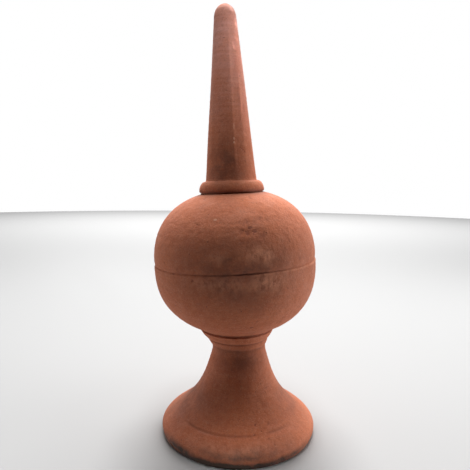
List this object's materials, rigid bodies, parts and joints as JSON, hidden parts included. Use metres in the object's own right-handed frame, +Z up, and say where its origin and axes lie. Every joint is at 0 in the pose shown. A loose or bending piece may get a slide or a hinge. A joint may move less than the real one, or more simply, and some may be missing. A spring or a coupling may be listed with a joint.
{
  "type": "roof finial",
  "caption": "Terracotta ball-and-spike roof finial: a tapered spike on a collared ball, over a narrow banded neck and a flared round foot open underneath.",
  "frame": {"origin": "on the plane that the foot rests on, below the middle of the whole width; the foot's own axis stands 4.39 mm from it towards +X", "axes": "+Z up along the foot's axis; the spike and ball lean about 3 degrees towards -X"},
  "size_m": [0.196, 0.1916, 0.4997],
  "materials": {
    "terracotta": "unglazed, matt, finely gritty, with faint turning lines and a few dark pits and grey smears"
  },
  "bodies": {
    "root": {"finial_body": "terracotta"}
  },
  "joints": []
}
